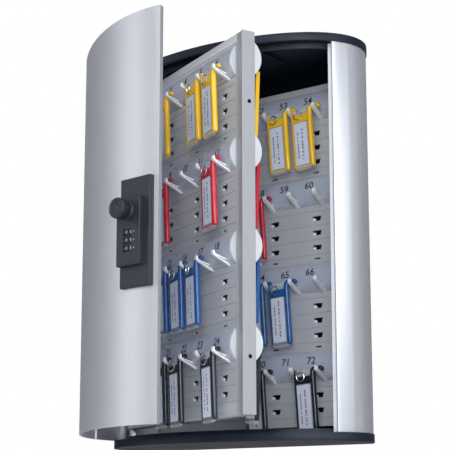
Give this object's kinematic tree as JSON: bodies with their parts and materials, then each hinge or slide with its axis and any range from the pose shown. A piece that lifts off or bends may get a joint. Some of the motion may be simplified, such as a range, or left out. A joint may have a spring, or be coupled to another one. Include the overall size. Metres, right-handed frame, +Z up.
{
  "type": "key cabinet",
  "caption": "Wall-hung key cabinet with a curved aluminium front, combination lock, slatted hook board, double-sided swing leaf and hanging key tags.",
  "frame": {"origin": "centre of the rear face, on the wall", "axes": "+Z up, +Y into the wall, -Y towards the user, +X to the right as seen from the front"},
  "size_m": [0.302, 0.2675, 0.4],
  "materials": {
    "aluminium_satin": "satin anodised",
    "cap_plastic": "fine moulded texture",
    "dark_steel": "black powder coat",
    "board_aluminium": "satin anodised",
    "label_card": "printed label",
    "white_plastic": "moulded",
    "steel": "plated",
    "bush_plastic": "moulded",
    "lock_plastic": "fine moulded texture",
    "lock_case_metal": "cast and painted",
    "wheel_plastic": "moulded",
    "tag_yellow": "moulded",
    "tag_red": "moulded",
    "tag_blue": "moulded",
    "tag_black": "moulded",
    "clear_plastic": "clear",
    "tag_paper": "printed paper",
    "ring_steel": "polished"
  },
  "bodies": {
    "cabinet": {"back_plate": "dark_steel", "board_hooks": "white_plastic", "board_key_rings": "ring_steel", "board_labels": "label_card", "board_screws": "steel", "board_strips": "board_aluminium", "board_tag_inserts": "tag_paper", "board_tag_sleeves": "clear_plastic", "board_tags_black": "tag_black", "board_tags_blue": "tag_blue", "board_tags_red": "tag_red", "board_tags_yellow": "tag_yellow", "bottom_cap": "cap_plastic", "door_pins": "steel", "key_board": "board_aluminium", "left_jamb": "aluminium_satin", "left_side_panel": "aluminium_satin", "right_jamb": "aluminium_satin", "right_side_panel": "aluminium_satin", "top_cap": "cap_plastic", "leaf_pins": "steel"},
    "door": {"door_bushes": "bush_plastic", "door_edge_profile": "aluminium_satin", "door_hinge_profile": "aluminium_satin", "door_panel": "aluminium_satin", "lock_backplate": "lock_plastic", "lock_body": "lock_plastic", "lock_case": "lock_case_metal", "lock_screws": "steel", "wheel_axle": "steel"},
    "leaf": {"leaf_bottom_rail": "board_aluminium", "leaf_end_clips": "white_plastic", "leaf_front_hooks": "white_plastic", "leaf_front_sheet": "board_aluminium", "leaf_front_strip_1": "board_aluminium", "leaf_front_strip_2": "board_aluminium", "leaf_front_strip_3": "board_aluminium", "leaf_front_strip_4": "board_aluminium", "leaf_hinge_post": "board_aluminium", "leaf_key_rings": "ring_steel", "leaf_labels": "label_card", "leaf_post": "board_aluminium", "leaf_post_screws": "steel", "leaf_rear_hooks": "white_plastic", "leaf_rear_sheet": "board_aluminium", "leaf_rear_strips": "board_aluminium", "leaf_tag_inserts": "tag_paper", "leaf_tag_sleeves": "clear_plastic", "leaf_tags_black": "tag_black", "leaf_tags_blue": "tag_blue", "leaf_tags_red": "tag_red", "leaf_tags_yellow": "tag_yellow", "leaf_top_rail": "board_aluminium"},
    "knob": {"lock_knob": "lock_plastic", "lock_spindle": "steel", "lock_cam": "steel", "cam_nut": "steel"},
    "wheel_1": {"code_wheel_1": "wheel_plastic"},
    "wheel_2": {"code_wheel_2": "wheel_plastic"},
    "wheel_3": {"code_wheel_3": "wheel_plastic"}
  },
  "joints": [
    {"name": "door_hinge", "type": "hinge", "parent": "cabinet", "child": "door", "pos_m": [-0.139, -0.053, 0], "axis": [0, 0, -1], "range_deg": [-40, 60]},
    {"name": "leaf_hinge", "type": "hinge", "parent": "cabinet", "child": "leaf", "pos_m": [-0.124, -0.0547, 0], "axis": [0, 0, -1], "range_deg": [-24, 36]},
    {"name": "knob_turn", "type": "hinge", "parent": "door", "child": "knob", "pos_m": [0.03211, -0.24886, 0], "axis": [-0.1028, -0.9947, 0], "range_deg": [0, 90]},
    {"name": "wheel_1_turn", "type": "hinge", "parent": "door", "child": "wheel_1", "pos_m": [0.03243, -0.24577, -0.02], "axis": [0, 0, 1], "continuous": true},
    {"name": "wheel_2_turn", "type": "hinge", "parent": "door", "child": "wheel_2", "pos_m": [0.03243, -0.24577, -0.0273], "axis": [0, 0, 1], "continuous": true},
    {"name": "wheel_3_turn", "type": "hinge", "parent": "door", "child": "wheel_3", "pos_m": [0.03243, -0.24577, -0.0346], "axis": [0, 0, 1], "continuous": true}
  ],
  "couplings": [
    {"joint": "leaf_hinge", "follows": "door_hinge", "ratio": 0.6}
  ]
}
